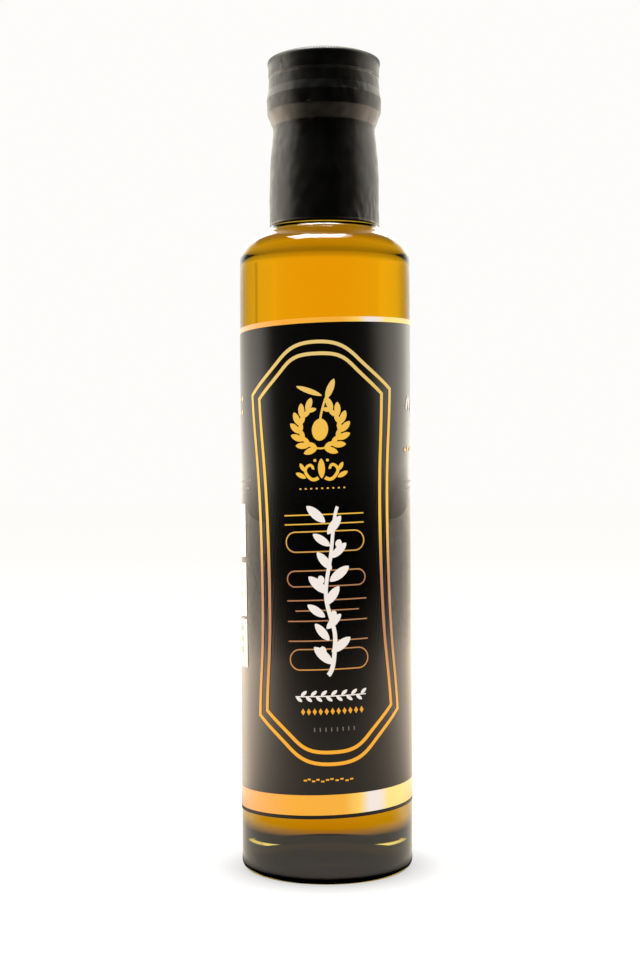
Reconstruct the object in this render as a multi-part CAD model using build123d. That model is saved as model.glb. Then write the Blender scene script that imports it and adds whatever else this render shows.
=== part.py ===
from build123d import *
import math
import os

# A full 250 ml olive oil bottle: a tall round clear glass bottle with a short
# shoulder and a wide neck, a screw cap, a shrink capsule over cap and neck, and
# a wrap label that was put on a little askew.
# Millimetres. The origin is the middle of the foot, +Z is up and -Y is the front.

# ---- driving dimensions ----

# Whole bottle
overall_height = 230.8          # foot to the top of the capsule
body_diameter = 48.6
glass_wall = 3.1                # body and shoulder

# Foot
heel_round = 2.5                # outer edge of the foot
foot_ring_diameter = 40.4       # inner edge of the flat ring that it stands on
punt_depth = 6.8                # hollow under the foot
floor_height = 10.3             # middle of the inside floor
floor_dome_radius = 34.0        # the inside floor is slightly domed
floor_corner = 2.3              # inside corner between floor and wall

# Shoulder and neck
neck_length = 52.6              # shoulder corner to the brim
shoulder_slope = 28.0           # degrees from level
shoulder_round = 6.5            # between body and shoulder
neck_round = 3.0                # between shoulder and neck
neck_diameter = 31.1
neck_wall = 3.3
neck_straight = 13.5            # shoulder corner to where the neck starts to taper

# Mouth, under the cap
finish_diameter = 28.2          # where the cap screws on
finish_wall = 2.8
finish_length = 16.0            # brim to the foot of the finish
throat_proud = 0.35             # narrowest place of the neck, beyond the finish
throat_depth = 19.6             # brim to throat
brim_round = 1.0

# Oil
headspace = 30.7                # brim to the level of the oil

# Screw cap, 31.5 mm
cap_clearance = 0.15            # beside the finish
cap_wall = 1.5
cap_top = 1.5
cap_round = 1.5                 # top edge
cap_skirt = 14.65               # brim to the cap's lower edge
band_height = 5.2               # security band at the lower edge
band_proud = 0.45               # band beyond the cap
band_round = 0.8                # lower edge of the band

# Shrink capsule
capsule_film = 0.15
flare_foot = 1.4                # throat to where the film leaves the neck
crease_round = 1.5              # where the film leaves the neck and meets the cap
step_length = 1.6               # film bridging the step above the band

# Wrap label
label_film = 0.12
label_foot_gap = 18.4           # floor to the label's lower edge at the front
label_head_gap = 22.1           # shoulder corner down to the label's upper edge
label_skew = 1.94               # degrees, the right side higher
label_seam = 0.3                # bare glass between the label's ends, at the back

# ---- sizes that follow ----

body_radius = body_diameter / 2
neck_radius = neck_diameter / 2
finish_radius = finish_diameter / 2
bore_radius = finish_radius - finish_wall
throat_radius = finish_radius + throat_proud
cap_inner_radius = finish_radius + cap_clearance
cap_radius = cap_inner_radius + cap_wall
band_radius = cap_radius + band_proud

cap_top_z = overall_height - capsule_film
brim_z = cap_top_z - cap_top
cap_foot_z = brim_z - cap_skirt
band_top_z = cap_foot_z + band_height
throat_z = brim_z - throat_depth
shoulder_z = brim_z - neck_length
taper_z = shoulder_z + neck_straight
oil_level = brim_z - headspace

slope = math.radians(shoulder_slope)
turn_tangent = math.tan((math.pi / 2 - slope) / 2)
UP = (0, 1)


def shoulder_rounds(outer, inner, convex, concave):
    """The two shoulder radii, held to what the slope between them has room for."""
    room = (outer - inner) / math.cos(slope) / turn_tangent
    fit = min(1, 0.95 * room / (convex + concave))
    return convex * fit, concave * fit


def shoulder_line(radius, inset):
    """Height of the shoulder's slope at a radius, this far inside the outer skin."""
    return shoulder_z + (body_radius - radius) * math.tan(slope) - inset / math.cos(slope)


def profile(*lines):
    """A closed face in the XZ plane from lines drawn as (radius, height)."""
    return Plane.XZ * make_face([edge for line in lines for edge in line.edges()])


def glass_outline():
    """Half section of the outside of the glass, filled in to the axis."""
    foot = foot_ring_diameter / 2
    convex, concave = shoulder_rounds(body_radius, neck_radius, shoulder_round, neck_round)
    punt = TangentArc((0, punt_depth), (foot, 0), tangent=(1, 0))
    side = FilletPolyline(
        (foot, 0),
        (body_radius, 0),
        (body_radius, shoulder_z),
        (neck_radius, shoulder_line(neck_radius, 0)),
        (neck_radius, taper_z),
        radius=[heel_round, convex, concave],
    )
    taper = TangentArc((neck_radius, taper_z), (throat_radius, throat_z), tangent=UP)
    mouth = Polyline(
        (throat_radius, throat_z),
        (throat_radius, throat_z + flare_foot),
        (finish_radius, brim_z - finish_length),
        (finish_radius, brim_z),
        (0, brim_z),
        (0, punt_depth),
    )
    return profile(punt, side, taper, mouth)


def cavity_outline():
    """Half section of the inside of the glass, up to the brim."""
    inner = body_radius - glass_wall
    neck_inner = neck_radius - neck_wall
    corner_reach = inner - floor_corner
    dome_centre = floor_height - floor_dome_radius
    corner_z = dome_centre + math.sqrt((floor_dome_radius + floor_corner) ** 2 - corner_reach ** 2)
    share = floor_dome_radius / (floor_dome_radius + floor_corner)
    touch = (corner_reach * share, dome_centre + (corner_z - dome_centre) * share)
    convex, concave = shoulder_rounds(
        inner, neck_inner, shoulder_round - glass_wall, neck_round + glass_wall
    )
    dome = TangentArc((0, floor_height), touch, tangent=(1, 0))
    corner = TangentArc(touch, (inner, corner_z), tangent=dome % 1)
    side = FilletPolyline(
        (inner, corner_z),
        (inner, shoulder_line(inner, glass_wall)),
        (neck_inner, shoulder_line(neck_inner, glass_wall)),
        (neck_inner, taper_z),
        radius=[convex, concave],
    )
    mouth = Polyline(
        (neck_inner, taper_z),
        (bore_radius, throat_z),
        (bore_radius, brim_z),
        (0, brim_z),
        (0, floor_height),
    )
    return profile(dome, corner, side, mouth)


def glass_bottle():
    """Hollow bottle with a rounded brim."""
    bottle = revolve(glass_outline(), Axis.Z) - revolve(cavity_outline(), Axis.Z)
    brim = bottle.edges().group_by(Axis.Z)[-1]
    return fillet(brim, brim_round)


def oil():
    """Oil that fills the glass up to its level."""
    below = Box(body_diameter, body_diameter, oil_level, align=(Align.CENTER, Align.CENTER, Align.MIN))
    return revolve(cavity_outline(), Axis.Z) & below


def screw_cap():
    """Cup with a security band, seated on the brim. Its thread is hidden and left out."""
    outside = FilletPolyline(
        (cap_inner_radius, cap_foot_z),
        (band_radius, cap_foot_z),
        (band_radius, band_top_z),
        (cap_radius, band_top_z),
        (cap_radius, cap_top_z),
        (0, cap_top_z),
        radius=[band_round, 0, 0, cap_round],
    )
    inside = Polyline(
        (0, cap_top_z),
        (0, brim_z),
        (cap_inner_radius, brim_z),
        (cap_inner_radius, cap_foot_z),
    )
    return revolve(profile(outside, inside), Axis.Z)


def flare_top(foot_z):
    """Where the film, drawn straight from the neck over the band's rounded edge, meets the band."""
    reach = band_radius - throat_radius
    rise = cap_foot_z + band_round - foot_z
    half_turn = reach / (rise + math.sqrt(rise ** 2 + reach * (reach - 2 * band_round)))
    return cap_foot_z + band_round * (1 - half_turn)


def shrink_capsule():
    """Film drawn tight over the neck, the band and the cap, closed over the top."""
    foot_z = throat_z + flare_foot
    concave = shoulder_rounds(body_radius, neck_radius, shoulder_round, neck_round)[1]
    hem_z = shoulder_line(neck_radius, 0) + concave * turn_tangent
    neck = Line((neck_radius, hem_z), (neck_radius, taper_z))
    taper = TangentArc((neck_radius, taper_z), (throat_radius, throat_z), tangent=UP)
    over_cap = FilletPolyline(
        (throat_radius, throat_z),
        (throat_radius, foot_z),
        (band_radius, flare_top(foot_z)),
        (band_radius, band_top_z),
        (cap_radius, band_top_z + step_length),
        (cap_radius, cap_top_z),
        (0, cap_top_z),
        radius=[crease_round, band_round, 0, crease_round, cap_round],
    )
    film_wire = Wire(neck.edges() + taper.edges() + over_cap.edges())
    return revolve(profile(offset(film_wire, capsule_film, side=Side.RIGHT)), Axis.Z)


def wrap_label():
    """Film wrapped round the body along a shallow helix, with its two ends at the back."""
    foot_z = label_foot_gap
    height = shoulder_z - label_head_gap - foot_z
    pitch = math.pi * body_diameter * math.tan(math.radians(label_skew))
    spare = 0.02                # of a turn, cut off again at the seam
    share = 0.5 + spare
    section = Pos(body_radius + label_film / 2, 0, 0) * Rot(90, 0, 0) * Rectangle(
        label_film, height, align=(Align.CENTER, Align.MIN)
    )
    halves = []
    for side in (-1, 1):
        path = Helix(pitch, pitch * share, body_radius + label_film / 2)
        strip = sweep(section, path=path, is_frenet=True)
        start = -90 if side > 0 else -90 - 360 * share
        drop = 0 if side > 0 else pitch * share
        strip = Pos(0, 0, foot_z - drop) * Rot(0, 0, start) * strip
        beyond = Box(body_radius, body_diameter, height * 2, align=(Align.MAX, Align.MIN, Align.CENTER))
        end = Pos(side * label_seam / 2, 0, foot_z + height / 2) * Rot(0, label_skew, 0)
        halves.append(strip - end * (beyond if side > 0 else mirror(beyond, Plane.YZ)))
    return halves[0] + halves[1]


nodes = {
    "glass_bottle": glass_bottle(),
    "oil": oil(),
    "screw_cap": screw_cap(),
    "shrink_capsule": shrink_capsule(),
    "label": wrap_label(),
}
os.makedirs("parts", exist_ok=True)
for name, solid in nodes.items():
    export_step(solid, f"parts/{name}.step")
    print(name, round(solid.volume / 1000, 2), "cm3")
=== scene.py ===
import math
import bpy
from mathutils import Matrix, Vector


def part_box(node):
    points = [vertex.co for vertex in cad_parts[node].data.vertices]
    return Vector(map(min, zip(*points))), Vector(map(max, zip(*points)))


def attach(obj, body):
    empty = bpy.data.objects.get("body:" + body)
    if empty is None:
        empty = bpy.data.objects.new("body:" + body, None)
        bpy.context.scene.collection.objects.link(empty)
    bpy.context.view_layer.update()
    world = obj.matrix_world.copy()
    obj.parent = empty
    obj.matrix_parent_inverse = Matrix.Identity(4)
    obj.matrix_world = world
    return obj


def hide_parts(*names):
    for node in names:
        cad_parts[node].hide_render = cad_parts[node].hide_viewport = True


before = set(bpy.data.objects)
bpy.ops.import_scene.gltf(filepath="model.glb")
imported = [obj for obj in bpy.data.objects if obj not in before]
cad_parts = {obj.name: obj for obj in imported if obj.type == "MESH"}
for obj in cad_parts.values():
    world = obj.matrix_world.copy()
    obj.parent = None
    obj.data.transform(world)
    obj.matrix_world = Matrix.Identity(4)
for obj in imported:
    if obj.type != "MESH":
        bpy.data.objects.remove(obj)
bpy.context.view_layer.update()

bl_info = {
    "name": "Olive Oil Bottle",
    "version": (1, 0, 0),
    "blender": (4, 5, 0),
    "location": "View3D > Sidebar > Oil Bottle",
    "description": "Builds a full glass oil bottle with a shrink capsule and a printed wrap label",
    "category": "Add Mesh",
}

MM = 0.001
ROOT = "root"

GLASS_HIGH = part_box("glass_bottle")[1]
OIL_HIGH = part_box("oil")[1]
CAP_LOW, CAP_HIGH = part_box("screw_cap")
CAPSULE_LOW, CAPSULE_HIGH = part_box("shrink_capsule")

UP = (0, 1)
AROUND = 160                    # segments of a full turn
FILM_AROUND = 240               # segments of the capsule's film, every other one a rib of the knurl
QUARTER_HANDLE = 0.5523         # handle of a curve that draws a quarter circle of radius 1
GLASS_IOR = 1.52
OIL_IOR = 1.47
INK_SUNK = 0.01 * MM            # how far print reaches into the film


# ---------------------------------------------------------------- settings

def length(name, description, default):
    """A length that a user may change, shown in scene units."""
    return bpy.props.FloatProperty(
        name=name, description=description, default=default, min=0, precision=5, unit="LENGTH"
    )


def tilt(name, description, degrees):
    """An angle that a user may change."""
    return bpy.props.FloatProperty(
        name=name, description=description, default=math.radians(degrees), subtype="ANGLE"
    )


def colour(name, description, default):
    """A colour given as an sRGB hex value."""
    return bpy.props.StringProperty(name=name, description=description, default=default)


class BottleSizes(bpy.types.PropertyGroup):
    """Sizes of the glass and of what closes it"""

    wall: length("Wall", "Thickness of the glass in body and shoulder", 3.1 * MM)
    heel_round: length("Heel round", "Radius of the foot's outer edge", 2.5 * MM)
    ring_radius: length("Ring radius", "Inner edge of the flat ring that the bottle stands on", 20.2 * MM)
    punt_depth: length("Punt depth", "Hollow under the foot", 6.8 * MM)
    floor_height: length("Floor height", "Middle of the inside floor", 10.3 * MM)
    floor_dome: length("Floor dome", "Radius of the slightly domed inside floor", 34.0 * MM)
    floor_corner: length("Floor corner", "Round between the inside floor and the wall", 2.3 * MM)
    neck_length: length("Neck length", "Corner of the shoulder to the brim", 52.6 * MM)
    shoulder_slope: tilt("Shoulder slope", "Angle of the shoulder from level", 28)
    shoulder_round: length("Shoulder round", "Radius between body and shoulder", 6.5 * MM)
    neck_round: length("Neck round", "Radius between shoulder and neck", 3.0 * MM)
    neck_radius: length("Neck radius", "Outside of the neck under the film", 15.55 * MM)
    neck_wall: length("Neck wall", "Thickness of the glass in the neck", 3.3 * MM)
    neck_straight: length("Neck straight", "Shoulder corner to where the neck tapers", 13.5 * MM)
    throat_radius: length("Throat radius", "Narrowest place of the neck", 14.45 * MM)
    throat_depth: length("Throat depth", "Brim to throat", 19.6 * MM)
    finish_radius: length("Finish radius", "Where the cap screws on", 14.1 * MM)
    finish_length: length("Finish length", "Brim to the foot of the finish", 16.0 * MM)
    bore_radius: length("Bore radius", "Inside of the mouth", 11.3 * MM)
    brim_round: length("Brim round", "Round of the brim's two edges", 1.0 * MM)
    oil_reach: length("Oil reach", "How far the oil reaches into the wall", 0.1 * MM)
    film: length("Film", "Thickness of the capsule's film", 0.12 * MM)


class LabelSizes(bpy.types.PropertyGroup):
    """Sizes of the wrap label and its print"""

    height: length("Height", "Label from lower to upper edge", 135.98 * MM)
    foot_gap: length("Foot gap", "Floor to the label's lower edge at the front", 18.4 * MM)
    seam: length("Seam", "Bare glass between the label's ends", 0.3 * MM)
    skew: tilt("Skew", "How far the label was put on askew", 1.94)
    sunk: length("Sunk", "How far the glued side reaches into the glass", 0.03 * MM)
    proud: length("Proud", "Film beyond the glass", 0.09 * MM)
    ink: length("Ink", "Print beyond the film", 0.03 * MM)
    fine_ink: length("Fine ink", "Fine print beyond the film", 0.01 * MM)
    bend_step: length("Bend step", "Longest straight stretch round the body", 0.5 * MM)
    origin_height: length("Print height", "Height of the print's middle line at the front", 86.3 * MM)


class Finishes(bpy.types.PropertyGroup):
    """Colours of glass, oil, films and print"""

    film_black: colour("Film black", "Black of the label film", "#070706")
    capsule_black: colour("Capsule black", "Black of the shrink film", "#020202")
    gold_pale: colour("Pale gold", "Printed gold at the top of the label", "#e3c375")
    gold_bright: colour("Bright gold", "Printed gold at the upper middle", "#f2bc3c")
    gold_copper: colour("Copper gold", "Printed gold at the lower middle", "#b27a50")
    gold_amber: colour("Amber gold", "Printed gold at the bottom of the label", "#f7a91e")
    cream: colour("Cream", "Light print", "#efe6de")
    grey: colour("Grey", "Faint print", "#6f6a60")
    white: colour("White", "Side panels", "#cfcac2")
    red: colour("Red", "Cells on the side panels", "#a02a22")
    green: colour("Green", "Cells on the side panels", "#2f7a30")
    orange: colour("Orange", "Cells on the side panels", "#c87410")


# ---------------------------------------------------------------- small helpers

def linear(hex_colour):
    """An sRGB hex value as linear RGBA."""
    channels = []
    for i in (1, 3, 5):
        value = int(hex_colour[i:i + 2], 16) / 255
        channels.append(value / 12.92 if value <= 0.04045 else ((value + 0.055) / 1.055) ** 2.4)
    return (*channels, 1.0)


def node(tree, kind, links=None, values=None, **settings):
    """Add a shader node with links and values for its sockets, and its other settings.

    A socket's link comes from another node's socket, or from that node's first one. A setting
    such as in_2 is the value of the input with that number."""
    made = tree.nodes.new("ShaderNode" + kind)
    for key, value in settings.items():
        if key.startswith("in_"):
            made.inputs[int(key[3:])].default_value = value
        else:
            setattr(made, key, value)
    for socket, value in (values or {}).items():
        made.inputs[socket].default_value = value
    for socket, source in (links or {}).items():
        tree.links.new(getattr(source, "outputs", [source])[0], made.inputs[socket])
    return made


def fresh_material(name):
    """An empty node material with its output, and the tree."""
    material = bpy.data.materials.new(name)
    material.use_nodes = True
    material.node_tree.nodes.clear()
    return material, material.node_tree


def close_material(tree, shader, volume=None):
    """Link the shader, and the volume where there is one, to the output."""
    out = node(tree, "OutputMaterial")
    tree.links.new(shader.outputs[0], out.inputs["Surface"])
    if volume:
        tree.links.new(volume.outputs[0], out.inputs["Volume"])


def ramp_stops(ramp_node, stops):
    """Set a colour ramp's stops as (place, colour)."""
    elements = ramp_node.color_ramp.elements
    while len(elements) < len(stops):
        elements.new(0.5)
    for element, (place, shade) in zip(elements, stops):
        element.position = place
        element.color = shade


def deselect():
    """Leave edit mode and select nothing."""
    if bpy.context.object and bpy.context.object.mode != "OBJECT":
        bpy.ops.object.mode_set(mode="OBJECT")
    bpy.ops.object.select_all(action="DESELECT")


def select(*things):
    """Select just these, the first one active."""
    deselect()
    for thing in things:
        thing.select_set(True)
    bpy.context.view_layer.objects.active = things[0]


def joined(name, parts):
    """Join parts into one piece."""
    select(*parts)
    if len(parts) > 1:
        bpy.ops.object.join()
    piece = bpy.context.object
    piece.name = name
    piece.data.name = name
    return piece


def apply_modifier(piece, kind, **settings):
    """Add one modifier and apply it."""
    select(piece)
    modifier = piece.modifiers.new(kind.title(), kind)
    for key, value in settings.items():
        setattr(modifier, key, value)
    bpy.ops.object.modifier_apply(modifier=modifier.name)


def finished(piece, material, replaces=None):
    """Give a piece its material and hang it on the frame."""
    select(piece)
    bpy.ops.object.transform_apply(location=True, rotation=True, scale=True)
    piece.data.materials.clear()
    piece.data.materials.append(material)
    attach(piece, ROOT)
    if replaces:
        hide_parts(replaces)
    return piece


# ---------------------------------------------------------------- outlines

def tangent_arc(start, end, direction, steps=10):
    """Points after start on the arc that leaves start in this direction and ends at end."""
    dx, dz = end[0] - start[0], end[1] - start[1]
    along = dx * direction[0] + dz * direction[1]
    across = dx * -direction[1] + dz * direction[0]
    turn = 2 * math.atan2(across, along)
    radius = math.hypot(dx, dz) / (2 * math.sin(turn / 2))
    points = []
    for i in range(1, steps + 1):
        part = turn * i / steps
        forward, side = radius * math.sin(part), radius * (1 - math.cos(part))
        points.append((
            start[0] + direction[0] * forward - direction[1] * side,
            start[1] + direction[1] * forward + direction[0] * side,
        ))
    return points


def rounded(corners, steps=9):
    """Points along straight runs whose corners, given as (radius, height, round), are rounded."""
    points = [corners[0][:2]]
    for before, corner, after in zip(corners, corners[1:], corners[2:]):
        inward = unit(before, corner)
        outward = unit(corner, after)
        turn = math.acos(max(-1, min(1, inward[0] * outward[0] + inward[1] * outward[1])))
        if corner[2] == 0 or turn < 1e-4:
            points.append(corner[:2])
            continue
        reach = corner[2] * math.tan(turn / 2)
        start = (corner[0] - inward[0] * reach, corner[1] - inward[1] * reach)
        end = (corner[0] + outward[0] * reach, corner[1] + outward[1] * reach)
        points.append(start)
        points += tangent_arc(start, end, inward, steps)
    points.append(corners[-1][:2])
    return points


def unit(a, b):
    """Unit direction from a to b."""
    dx, dz = b[0] - a[0], b[1] - a[1]
    size = math.hypot(dx, dz)
    return dx / size, dz / size


def filled_in(points, longest):
    """Split long straight runs so that no run is longer than this."""
    out = [points[0]]
    for a, b in zip(points, points[1:]):
        pieces = max(1, math.ceil(math.hypot(b[0] - a[0], b[1] - a[1]) / longest))
        for i in range(1, pieces + 1):
            out.append((a[0] + (b[0] - a[0]) * i / pieces, a[1] + (b[1] - a[1]) * i / pieces))
    return out


def shoulder_line(sizes, radius, inset):
    """Height of the shoulder's slope at a radius, this far inside the outer skin."""
    corner = GLASS_HIGH.z - sizes.neck_length
    slope = sizes.shoulder_slope
    return corner + (GLASS_HIGH.x - radius) * math.tan(slope) - inset / math.cos(slope)


def outside_line(sizes):
    """Outside of the glass from the axis under the foot to the brim's outer edge."""
    body, neck, throat = GLASS_HIGH.x, sizes.neck_radius, sizes.throat_radius
    brim = GLASS_HIGH.z
    corner = brim - sizes.neck_length
    taper = (neck, corner + sizes.neck_straight)
    throat_point = (throat, brim - sizes.throat_depth)
    punt = [(0, sizes.punt_depth)]
    punt += tangent_arc(punt[0], (sizes.ring_radius, 0), (1, 0))
    side = rounded([
        (sizes.ring_radius, 0, 0),
        (body, 0, sizes.heel_round),
        (body, corner, sizes.shoulder_round),
        (neck, shoulder_line(sizes, neck, 0), sizes.neck_round),
        (*taper, 0),
    ])
    finish_foot = (sizes.finish_radius, brim - sizes.finish_length)
    waist = tangent_arc(taper, throat_point, UP)
    return punt[:-1] + side + waist + [finish_foot, (sizes.finish_radius, brim)]


def inside_line(sizes, inset=0.0):
    """Inside of the glass from the middle of the floor to the mouth, moved out into the wall by inset."""
    inner = GLASS_HIGH.x - sizes.wall + inset
    neck = sizes.neck_radius - sizes.neck_wall + inset
    bore = sizes.bore_radius + inset
    corner_round = sizes.floor_corner + inset
    dome = sizes.floor_dome - inset
    depth = sizes.wall - inset
    floor = sizes.floor_height - inset
    reach = inner - corner_round
    dome_centre = floor - dome
    corner_z = dome_centre + math.sqrt((dome + corner_round) ** 2 - reach ** 2)
    share = dome / (dome + corner_round)
    touch = (reach * share, dome_centre + (corner_z - dome_centre) * share)
    dome_end = unit((0, dome_centre), touch)
    points = [(0, floor)]
    points += tangent_arc(points[0], touch, (1, 0))
    points += tangent_arc(touch, (inner, corner_z), (dome_end[1], -dome_end[0]))
    taper_z = GLASS_HIGH.z - sizes.neck_length + sizes.neck_straight
    side = rounded([
        (inner, corner_z, 0),
        (inner, shoulder_line(sizes, inner, depth), sizes.shoulder_round - depth),
        (neck, shoulder_line(sizes, neck, depth), sizes.neck_round + depth),
        (neck, taper_z, 0),
        (bore, GLASS_HIGH.z - sizes.throat_depth, 0),
        (bore, GLASS_HIGH.z, 0),
    ])
    return points[:-1] + side


def start_point(x, y, z):
    """A new piece in edit mode that is one vertex at this place."""
    deselect()
    bpy.ops.mesh.primitive_plane_add(size=MM)
    bpy.ops.object.mode_set(mode="EDIT")
    bpy.ops.mesh.select_all(action="SELECT")
    bpy.ops.mesh.merge(type="CENTER")
    bpy.ops.transform.translate(value=(x, y, z))


def named(name):
    """Leave edit mode and name the piece that was being made."""
    bpy.ops.object.mode_set(mode="OBJECT")
    piece = bpy.context.object
    piece.name = name
    piece.data.name = name
    return piece


def turned(name, outline, around=AROUND):
    """A skin turned on the bottle's axis: its outline is drawn point by point, then spun."""
    start_point(outline[0][0], 0, outline[0][1])
    for (r0, z0), (r1, z1) in zip(outline, outline[1:]):
        bpy.ops.mesh.extrude_region_move(TRANSFORM_OT_translate={"value": (r1 - r0, 0, z1 - z0)})
    bpy.ops.mesh.select_all(action="SELECT")
    bpy.ops.mesh.spin(steps=around, angle=2 * math.pi, center=(0, 0, 0), axis=(0, 0, 1))
    bpy.ops.mesh.select_all(action="SELECT")
    bpy.ops.mesh.remove_doubles(threshold=0.002 * MM)
    bpy.ops.mesh.normals_make_consistent(inside=False)
    piece = named(name)
    bpy.ops.object.shade_smooth()
    return piece


# ---------------------------------------------------------------- flat print, drawn before it is laid round

def filled_face(depth):
    """Close the drawn edge with a face and give it its thickness."""
    face_drawn()
    thicken(depth)


def face_drawn():
    """Close the drawn edge with a face."""
    bpy.ops.mesh.select_all(action="SELECT")
    bpy.ops.mesh.remove_doubles(threshold=0.01 * MM)
    bpy.ops.mesh.edge_face_add()


def thicken(depth):
    """Raise what is selected by its thickness."""
    bpy.ops.mesh.extrude_region_move(TRANSFORM_OT_translate={"value": (0, 0, depth)})
    bpy.ops.mesh.select_all(action="SELECT")
    bpy.ops.mesh.normals_make_consistent(inside=False)


def leaf(length_mm, width_mm, place, angle, depth):
    """A pointed leaf that starts at this place and grows at this angle, in millimetres and degrees."""
    half, bulge = length_mm / 2, width_mm / 2
    start_point(0, 0, 0)
    steps = 8
    upper = [(half - half * math.cos(math.pi * i / steps), bulge * math.sin(math.pi * i / steps) ** 1.4)
             for i in range(steps + 1)]
    edge = upper + [(x, -y) for x, y in reversed(upper[1:-1])]
    for (x0, y0), (x1, y1) in zip(edge, edge[1:]):
        bpy.ops.mesh.extrude_region_move(
            TRANSFORM_OT_translate={"value": ((x1 - x0) * MM, (y1 - y0) * MM, 0)}
        )
    filled_face(depth)
    piece = named("leaf")
    piece.rotation_euler.z = math.radians(angle)
    piece.location = (place[0] * MM, place[1] * MM, 0)
    return piece


def disc(width_mm, height_mm, place, depth, angle=0.0, corners=24):
    """A filled oval, or a lozenge where it has four corners."""
    deselect()
    bpy.ops.mesh.primitive_circle_add(vertices=corners, radius=MM / 2, fill_type="NGON")
    bpy.ops.object.mode_set(mode="EDIT")
    bpy.ops.transform.resize(value=(width_mm, height_mm, 1))
    filled_face(depth)
    piece = named("disc")
    piece.rotation_euler.z = math.radians(angle)
    piece.location = (place[0] * MM, place[1] * MM, 0)
    return piece


def bar(left, low, right, high, depth):
    """A filled rectangle."""
    deselect()
    bpy.ops.mesh.primitive_plane_add(size=MM, location=((left + right) / 2 * MM, (low + high) / 2 * MM, 0))
    bpy.ops.object.mode_set(mode="EDIT")
    bpy.ops.transform.resize(value=(right - left, high - low, 1))
    filled_face(depth)
    return named("bar")


def curve(points, closed=False, resolution=10):
    """A Bezier curve through (x, y, handle x, handle y), or through (x, y) with a corner there."""
    deselect()
    bpy.ops.curve.primitive_bezier_curve_add()
    piece = bpy.context.object
    spline = piece.data.splines[0]
    spline.bezier_points.add(len(points) - 2)
    spline.use_cyclic_u = closed
    spline.resolution_u = resolution
    for point, spec in zip(spline.bezier_points, points):
        x, y = spec[:2]
        hx, hy = spec[2:] if len(spec) > 2 else (0, 0)
        point.co = (x * MM, y * MM, 0)
        point.handle_left_type = point.handle_right_type = "FREE" if len(spec) > 2 else "VECTOR"
        point.handle_left = ((x - hx) * MM, (y - hy) * MM, 0)
        point.handle_right = ((x + hx) * MM, (y + hy) * MM, 0)
    return piece


def stroke(points, width_mm, depth, taper=(1.0, 1.0), closed=False):
    """A drawn line of this width that may thin towards its ends."""
    piece = curve(points, closed)
    spline = piece.data.splines[0]
    last = len(points) - 1
    for i, point in enumerate(spline.bezier_points):
        point.radius = taper[0] + (taper[1] - taper[0]) * i / last
    piece.data.bevel_depth = width_mm / 2 * MM
    piece.data.bevel_resolution = 1
    piece.data.use_fill_caps = True
    bpy.ops.object.convert(target="MESH")
    bpy.ops.object.mode_set(mode="EDIT")
    bpy.ops.mesh.select_all(action="SELECT")
    bpy.ops.mesh.remove_doubles(threshold=0.001 * MM)
    bpy.ops.transform.resize(value=(1, 1, depth / (width_mm * MM)))
    bpy.ops.transform.translate(value=(0, 0, depth / 2))
    bpy.ops.mesh.normals_make_consistent(inside=False)
    return named("stroke")


def ring_line(points, width_mm, depth):
    """A closed line: its outer edge is filled and inset by the line's width, and the inside is dropped."""
    curve(points, closed=True, resolution=12)
    bpy.ops.object.convert(target="MESH")
    bpy.ops.object.mode_set(mode="EDIT")
    face_drawn()
    bpy.ops.mesh.inset(thickness=width_mm * MM, use_even_offset=True)
    bpy.ops.mesh.delete(type="FACE")
    bpy.ops.mesh.select_all(action="SELECT")
    thicken(depth)
    return named("ring")


def copies(first, places):
    """The first shape and its copies, each with its own mesh, at (x, y), or (x, y, angle, size)."""
    made = [first]
    for _ in places[1:]:
        select(first)
        bpy.ops.object.duplicate()
        made.append(bpy.context.object)
    for piece, place in zip(made, places):
        x, y, angle, size = (*place, 0, 1.0)[:4]
        piece.location = (x * MM, y * MM, 0)
        piece.rotation_euler.z = math.radians(angle)
        piece.scale = (size, size, 1)
    return made


def pill(left, low, right, high):
    """Outline of a box with round ends."""
    bend = (high - low) / 2
    middle = (high + low) / 2
    pull = bend * QUARTER_HANDLE
    return [
        (left + bend, high, pull, 0),
        (right - bend, high, pull, 0),
        (right, middle, 0, -pull),
        (right - bend, low, -pull, 0),
        (left + bend, low, -pull, 0),
        (left, middle, 0, pull),
    ]


def laid_round(piece, lift):
    """Cut a flat piece into narrow strips, tilt it by the skew and bend it round the body."""
    label = sizes()[1]
    radius = GLASS_HIGH.x
    select(piece)
    bpy.ops.object.transform_apply(location=True, rotation=True, scale=True)
    bpy.ops.object.mode_set(mode="EDIT")
    bpy.ops.mesh.select_all(action="SELECT")
    bpy.ops.transform.translate(value=(0, 0, lift))
    xs = [v[0] for v in bounding(piece)]
    step = label.bend_step
    for i in range(math.floor(min(xs) / step) + 1, math.ceil(max(xs) / step)):
        bpy.ops.mesh.select_all(action="SELECT")
        bpy.ops.mesh.bisect(plane_co=(i * step, 0, 0), plane_no=(1, 0, 0))
    bpy.ops.object.mode_set(mode="OBJECT")
    piece.rotation_euler.z = label.skew
    bpy.ops.object.transform_apply(rotation=True)
    piece.rotation_euler.x = math.radians(90)
    bpy.ops.object.transform_apply(rotation=True)
    xs = [v[0] for v in bounding(piece)]
    apply_modifier(
        piece, "SIMPLE_DEFORM", deform_method="BEND", deform_axis="Z", angle=(max(xs) - min(xs)) / radius
    )
    piece.location = (0, -radius, label.origin_height)
    bpy.ops.object.transform_apply(location=True)
    bpy.ops.object.shade_smooth_by_angle(angle=math.radians(30))
    return piece


def bounding(piece):
    """Corners of a piece's box, its edits included."""
    piece.update_from_editmode()
    bpy.context.view_layer.update()
    return [tuple(corner) for corner in piece.bound_box]


# ---------------------------------------------------------------- materials

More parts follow.
